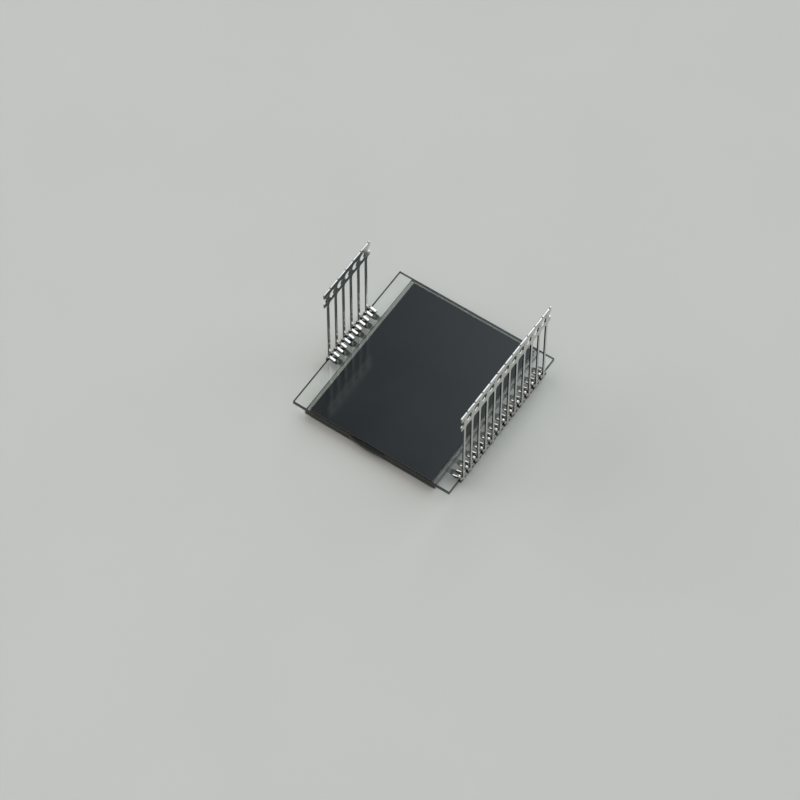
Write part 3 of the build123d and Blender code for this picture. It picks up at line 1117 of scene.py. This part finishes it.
    def bend(self, shell: Shell, y: float, finger: Finger, rest: float) -> None:
        """Adds a bent finger to the shell, with a bevelled and rolled-over tip and sheared flanks.

        Args:
            shell: the shell that gets it.
            y: the finger's place along the row.
            finger: the finger.
            rest: the height of its middle line where it is closest to the glass.
        """
        path = finger.path(self.sheet_middle, self.ledge, rest)
        (x0, z0), (x1, z1) = path[-2:]
        run = math.hypot(x1 - x0, z1 - z0)
        ways = [1 - back / run for back in (self.tip_bevel, self.rollover) if run > back]
        path[-1:] = [(x0 + (x1 - x0) * way, z0 + (z1 - z0) * way) for way in ways] + [(x1, z1)]
        lengths = [0.0]
        for (x0, z0), (x1, z1) in zip(path, path[1:]):
            lengths.append(lengths[-1] + math.hypot(x1 - x0, z1 - z0))
        rings = []
        for i, (x, z) in enumerate(path):
            way = across(path, i)
            narrow = 2 * max(self.tip_bevel - lengths[-1] + lengths[i], 0.0)
            thin = 2 * self.rollover if i == len(path) - 1 else 0.0
            section = self.section(finger.width - narrow - thin, self.sheet - thin)
            rings.append([(x + t * way[0], y + w, z + t * way[1]) for w, t in section])
        faces = (Coat.ROLLED, Coat.SHEARED) * 2
        coats = [coat for face in faces for coat in (Coat.ROLLED, Coat.ROLLED, face)]
        shell.loft(rings, coats, Coat.SHEARED)

    def build(self) -> None:
        """Stamps and bends the row, and puts it in place of the CAD's lead frame."""
        shell = Shell()
        self.stamp(shell)
        on_ledge = self.ledge + self.sheet / 2 + self.clearance
        on_pad = self.ledge - self.glass - self.pad_thickness - self.sheet / 2
        for y in self.pins():
            for side in (-1, 1):
                self.bend(shell, y + side * self.side_spacing / 2, self.side, on_ledge)
            self.bend(shell, y, self.middle, on_pad)
        name = f"{self.row.name.lower()}_pin_row"
        rolled, sheared = TinnedFace(), ShearedEdge()
        # the edges that look up get a brighter tin: a painted highlight of the light from above
        top_lit_name = "tin-plated phosphor bronze, slit edge"
        top_lit = TinnedFace(top_lit_name, ("#f2f1ee", "#e2e1dd"), roughness=(0.26, 0.36))
        piece = shell.piece(name, [rolled, sheared, top_lit], flip=self.row is PinRow.LONG)
        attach(piece, "root")
        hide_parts(f"lead_frame_{self.row.value}")
        LOG.info("%s: %s; %s; %s", name, rolled.name, sheared.name, top_lit.name)


@dataclass
class PasteDabs:
    """The dabs of carbon paste round the contacts of one row, squashed flat against the pads.

    Each is a rounded blot that runs out under its clip, with a window where the finger's tip stands.
    Its rim wanders by waves, given as height, turns round the rim and how each dab shifts them.
    """

    row: PinRow
    pins: list[float]
    contact: float = -13.112
    top: float = 1.0395
    height: float = 0.058
    radius: float = 0.58
    shrink: float = 0.07
    rim_waves: tuple[Triple, Triple] = ((0.05, 2, 1.7), (0.035, 3, 2.9))
    run_out: Pair = (0.42, 0.38)
    run_power: float = 1.5
    window: Pair = (0.26, 0.21)
    window_power: int = 4
    rim: float = 0.02
    rim_heights: Pair = (0.7, 0.6)
    steps: int = 36

    def dab(self, shell: Shell, y: float, number: int) -> None:
        """Adds one dab to the shell, with an uneven rim.

        Args:
            shell: the shell that gets it.
            y: the pin's place along the row.
            number: the dab's number, which sets the shape of its rim.
        """
        corners: list[Triple] = []
        half_x, half_y = self.window
        at_window, at_rim = self.rim_heights
        for i in range(self.steps):
            a = 2 * math.pi * i / self.steps
            c, s = math.cos(a), math.sin(a)
            power = self.window_power
            inner = (abs(c / half_x) ** power + abs(s / half_y) ** power) ** (-1 / power)
            waves = (high * math.sin(turns * a + shift * number) for high, turns, shift in self.rim_waves)
            wander = sum(waves)
            spread = self.run_out[0 if c < 0 else 1] * abs(c) ** self.run_power
            outer = self.radius * (1 + wander - self.shrink) + spread
            profile = [(inner, 0.0), (outer, 0.0), (outer - self.rim, at_rim), ((inner + outer) / 2, 1.0)]
            profile.append((inner + self.rim, at_window))
            corners += [(self.contact + r * c, y + r * s, self.top - d * self.height) for r, d in profile]
        count = len(profile)
        faces = []
        for i in range(self.steps):
            here, there = i * count, (i + 1) % self.steps * count
            for j in range(count):
                k = (j + 1) % count
                faces.append((here + k, there + k, there + j, here + j))
        shell.add(corners, faces, [0] * len(faces))

    def build(self) -> None:
        """Builds the row's dabs and puts them in place of the CAD's."""
        paste = PrintedPaste()
        shell = Shell()
        for number, y in enumerate(self.pins):
            self.dab(shell, y, number)
        name = f"{self.row.name.lower()}_row_paste"
        piece = shell.piece(name, [paste], flip=self.row is PinRow.LONG)
        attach(piece, "root")
        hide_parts(f"contact_paste_{self.row.value}")
        LOG.info("%s: %s", name, paste.name)


@dataclass
class Studio:
    """The pale table, the soft light and the camera."""

    table_size: float = 3000.0
    table_gap: float = 0.01
    lamp_size: float = 2700.0
    lamp_from: Triple = (-2550.0, -600.0, 1440.0)
    lamp_power: float = 43.2
    lamp_colour: str = "#fffdfa"
    sky_top: str = "#e4e5e6"
    sky_low: str = "#363738"
    sky_strength: float = 0.64
    panel_way: Triple = (0.153, 0.767, 0.62)
    panel_edge: Pair = (37.0, 28.5)
    panel_colour: str = "#e2f0f7"
    panel_strength: float = 2.1
    backdrop: str = "#c6c8c5"
    target: Triple = (-0.977, -5.104, 1.75)
    azimuth: float = 34.084
    elevation: float = 57.973
    roll: float = 0.205
    distance: float = 564.131
    focal_pixels: float = 3708.21
    picture_pixels: int = 800
    sensor: float = 36.0
    clip: Pair = (10.0, 20000.0)

    def lay_table(self) -> None:
        """Lays the table just under the display, clear of its face, and marks it as stage."""
        half, low = self.table_size * MM / 2, -self.table_gap * MM
        mesh = bpy.data.meshes.new("table")
        corners = [(x * half, y * half, low) for x, y in ((-1, -1), (1, -1), (1, 1), (-1, 1))]
        mesh.from_pydata(corners, [], [(0, 1, 2, 3)])
        table = add_object("table", mesh)
        TableTop().dress(table)
        table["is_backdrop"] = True

    def hang_lamp(self) -> None:
        """Hangs the soft lamp at the left, turned to the display."""
        lamp = bpy.data.lights.new("softbox", "AREA")
        lamp.shape = "SQUARE"
        lamp.size = self.lamp_size * MM
        lamp.energy = self.lamp_power
        lamp.color = linear(self.lamp_colour)[:3]
        stand = add_object("softbox", lamp)
        stand.location = Vector(self.lamp_from) * MM
        stand.rotation_euler = (-stand.location).to_track_quat("-Z", "Y").to_euler()

    def light_room(self) -> None:
        """Lights the room: bright from above, with one soft-edged ceiling panel and a pale backdrop."""
        world = bpy.data.worlds.new("room")
        bpy.context.scene.world = world
        world.use_nodes = True
        world.node_tree.nodes.clear()
        add = partial(add_node, world.node_tree)
        way = add("TexCoord").outputs["Generated"]
        height = add("SeparateXYZ", {"Vector": way}).outputs["Z"]
        low, high = linear(self.sky_low), linear(self.sky_top)
        sky = add("Mix", {"data_type": "RGBA", FACTOR: height, COLOUR_A: low, COLOUR_B: high})
        room = add("Background", {"Color": sky, "Strength": self.sky_strength})
        to_panel = Vector(self.panel_way).normalized()
        towards = add("VectorMath", {"operation": "DOT_PRODUCT", 0: way, 1: to_panel})
        outside, inside = (math.cos(math.radians(angle)) for angle in self.panel_edge)
        edge = {"interpolation_type": "SMOOTHSTEP", "From Min": outside, "From Max": inside}
        bright = add("MapRange", {**edge, "To Max": self.panel_strength, "Value": towards})
        panel = add("Background", {"Color": linear(self.panel_colour), "Strength": bright})
        lit = add("AddShader", {0: room, 1: panel})
        backdrop = add("Background", {"Color": linear(self.backdrop), "Strength": 1.0})
        seen = add("LightPath").outputs["Is Camera Ray"]
        add("OutputWorld", {"Surface": add("MixShader", {0: seen, 1: lit, 2: backdrop})})

    def set_camera(self) -> None:
        """Sets the camera where the photograph was taken from."""
        az, el, roll = (math.radians(a) for a in (self.azimuth, self.elevation, self.roll))
        back = Vector((math.sin(az) * math.cos(el), -math.cos(az) * math.cos(el), math.sin(el)))
        side = (-back).cross(Vector((0, 0, 1))).normalized()
        up = side.cross(-back)
        right = side * math.cos(roll) + up * math.sin(roll)
        top = -side * math.sin(roll) + up * math.cos(roll)
        lens = bpy.data.cameras.new("camera")
        lens.sensor_width = self.sensor
        lens.lens = self.focal_pixels / self.picture_pixels * self.sensor
        lens.clip_start, lens.clip_end = (clip * MM for clip in self.clip)
        camera = add_object("camera", lens)
        turn = Matrix((right, top, back)).transposed().to_4x4()
        camera.matrix_world = Matrix.Translation((Vector(self.target) + back * self.distance) * MM) @ turn
        bpy.context.scene.camera = camera
        bpy.context.scene.view_settings.view_transform = "Standard"

    def build(self) -> None:
        """Sets up the whole studio."""
        self.lay_table()
        self.hang_lamp()
        self.light_room()
        self.set_camera()
        LOG.info("studio: table, softbox, room and camera")


def main() -> None:
    """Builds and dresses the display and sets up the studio."""
    logging.basicConfig(level=logging.INFO, format="%(name)s: %(message)s")
    GlassCell().build()
    SealFrame().build()
    PortPlug().build()
    rows = [
        LeadFrame(PinRow.SHORT, pin_count=6, row_centre=0.5),
        LeadFrame(PinRow.LONG, pin_count=12, row_centre=0.0),
    ]
    for row in rows:
        row.build()
        PasteDabs(row.row, row.pins()).build()
    Studio().build()
    bpy.context.view_layer.update()
    boxes = {"cad": CAD_BOX, "scene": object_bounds()}
    plain = {name: [list(corner) for corner in box] for name, box in boxes.items()}


if __name__ == "__main__":
    main()
